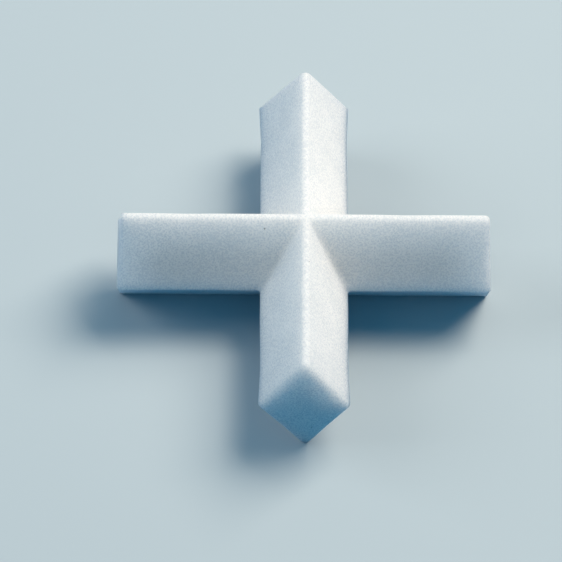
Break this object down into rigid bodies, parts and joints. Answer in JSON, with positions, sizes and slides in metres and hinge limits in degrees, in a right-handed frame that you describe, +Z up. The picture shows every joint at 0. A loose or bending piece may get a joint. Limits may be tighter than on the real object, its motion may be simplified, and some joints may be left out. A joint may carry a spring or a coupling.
{
  "type": "magnetic stir bar",
  "caption": "Cross-shaped magnetic stir bar: a white moulded PTFE jacket with ridged, diamond-section arms round a sealed rod magnet. It spins on a magnetic stirrer to mix liquids.",
  "frame": {"origin": "under the middle of the cross, on the plane that the lower ridges rest on", "axes": "+Z up, along the axis that the bar spins about; +X along the arm that holds the magnet; +Y along the other arm"},
  "size_m": [0.04, 0.04, 0.014],
  "materials": {
    "ptfe": "satin, moulded and slightly translucent",
    "magnet_alloy": "cast and ground alloy"
  },
  "bodies": {
    "root": {"ptfe_jacket": "ptfe", "rod_magnet": "magnet_alloy"}
  },
  "joints": []
}
